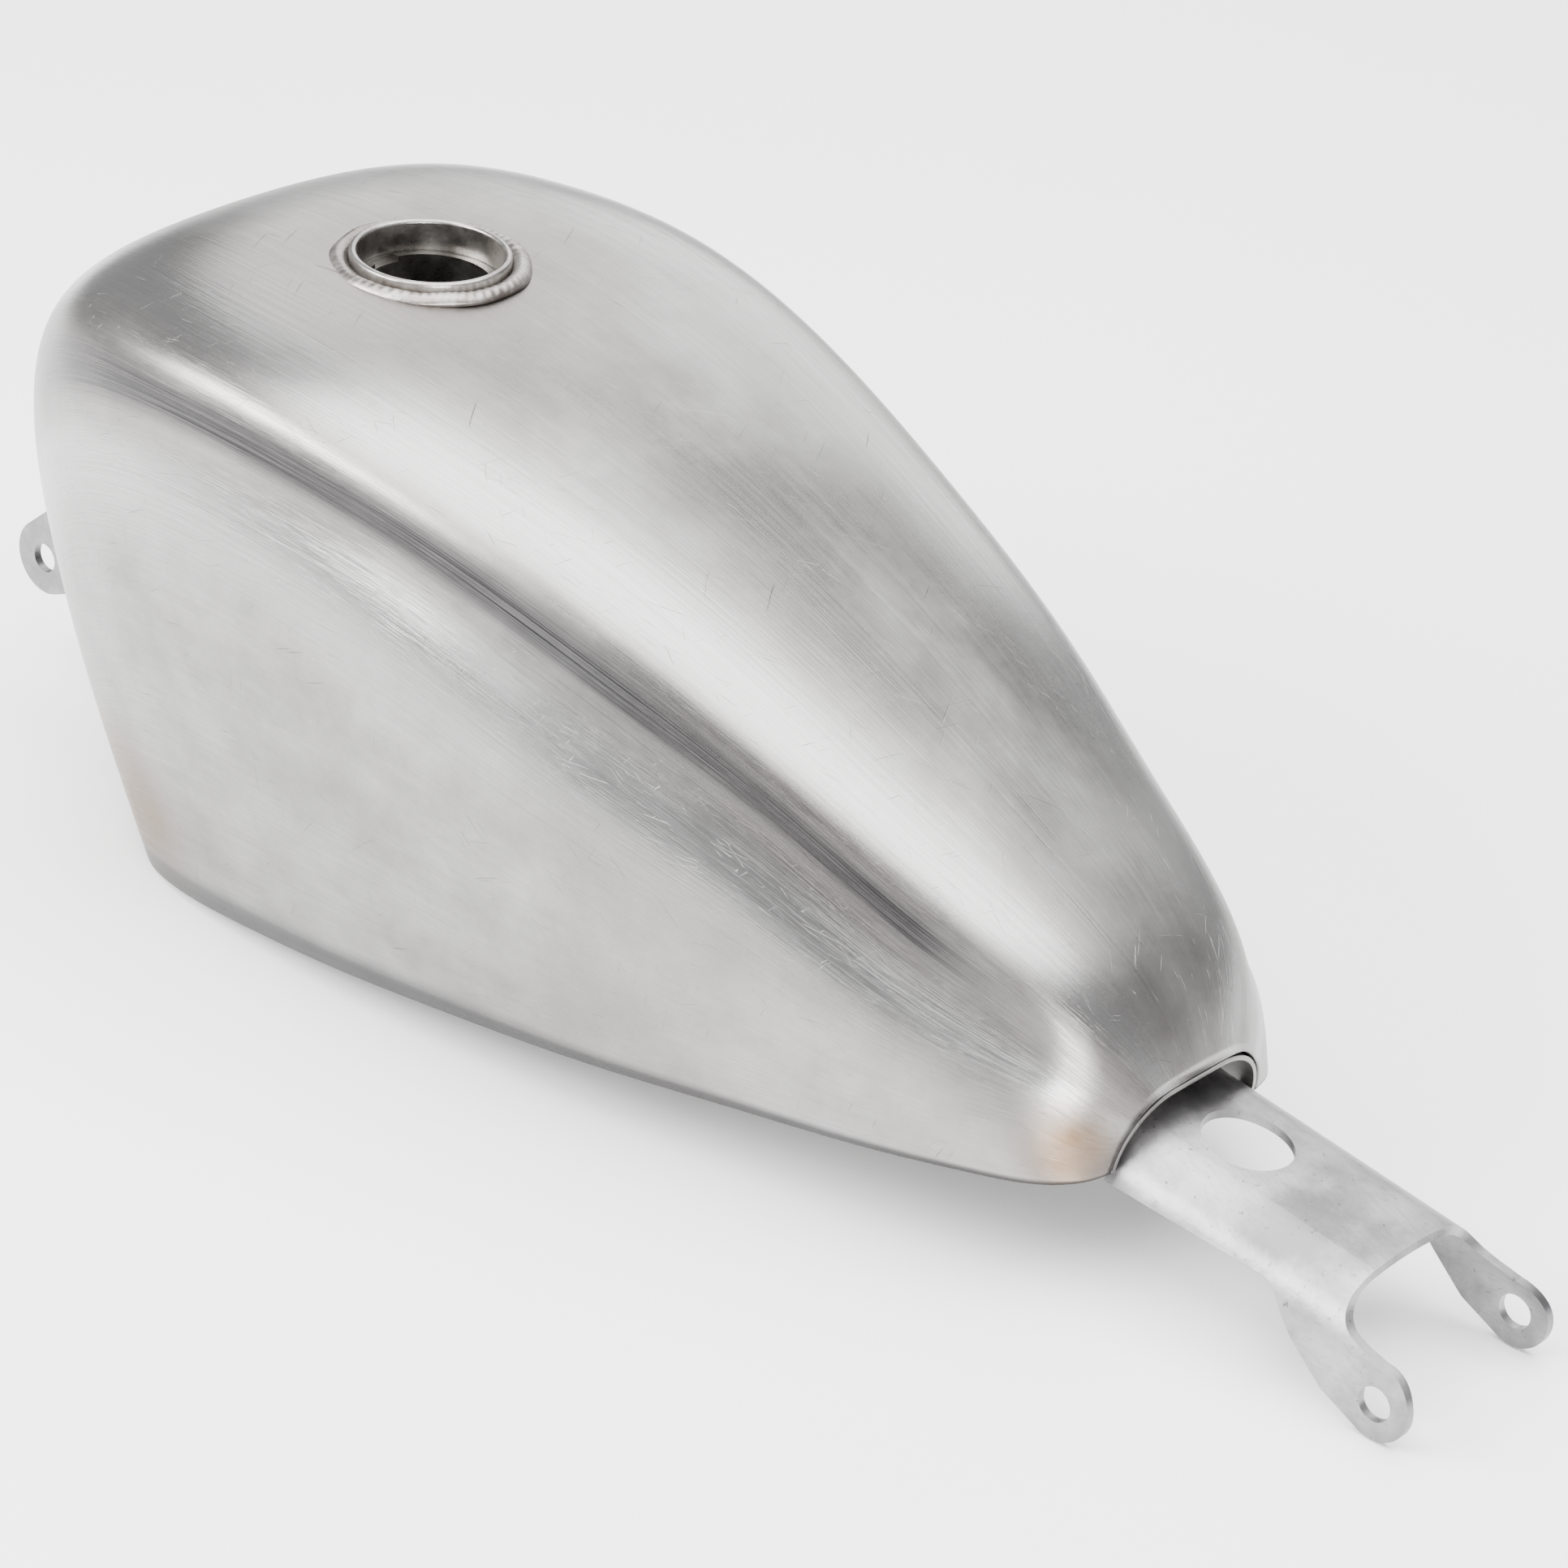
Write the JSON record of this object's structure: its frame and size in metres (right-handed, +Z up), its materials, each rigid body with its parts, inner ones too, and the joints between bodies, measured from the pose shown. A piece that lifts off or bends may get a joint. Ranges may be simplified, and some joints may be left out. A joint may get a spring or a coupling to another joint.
{
  "type": "fuel tank",
  "caption": "Bare steel teardrop motorcycle fuel tank with side grooves, a filler neck, a frame tunnel, front ears and a forked rear bracket.",
  "frame": {"origin": "middle of the axis through the two rear bracket eyes", "axes": "+X forward towards the nose, +Y to the rider's left, +Z up with the filler opening level"},
  "size_m": [0.6473, 0.2342, 0.223],
  "materials": {
    "skin": "bare steel brushed along the tank",
    "underside": "bare pressed steel, dull",
    "neck": "turned steel",
    "bracket": "dull pickled steel plate",
    "weld": "ground weld metal"
  },
  "bodies": {
    "root": {"outer_shell": "skin", "tunnel": "underside", "floor_left": "underside", "floor_right": "underside", "seam_weld_left": "weld", "seam_weld_right": "weld", "filler_neck": "neck", "neck_ledge": "neck", "neck_sleeve": "neck", "neck_weld": "weld", "front_ear_left": "bracket", "front_ear_right": "bracket", "ear_weld_left": "weld", "ear_weld_right": "weld", "rear_bracket": "bracket", "tab_weld_left": "weld", "tab_weld_right": "weld", "outlet_flange": "bracket", "outlet_weld": "weld"}
  },
  "joints": []
}
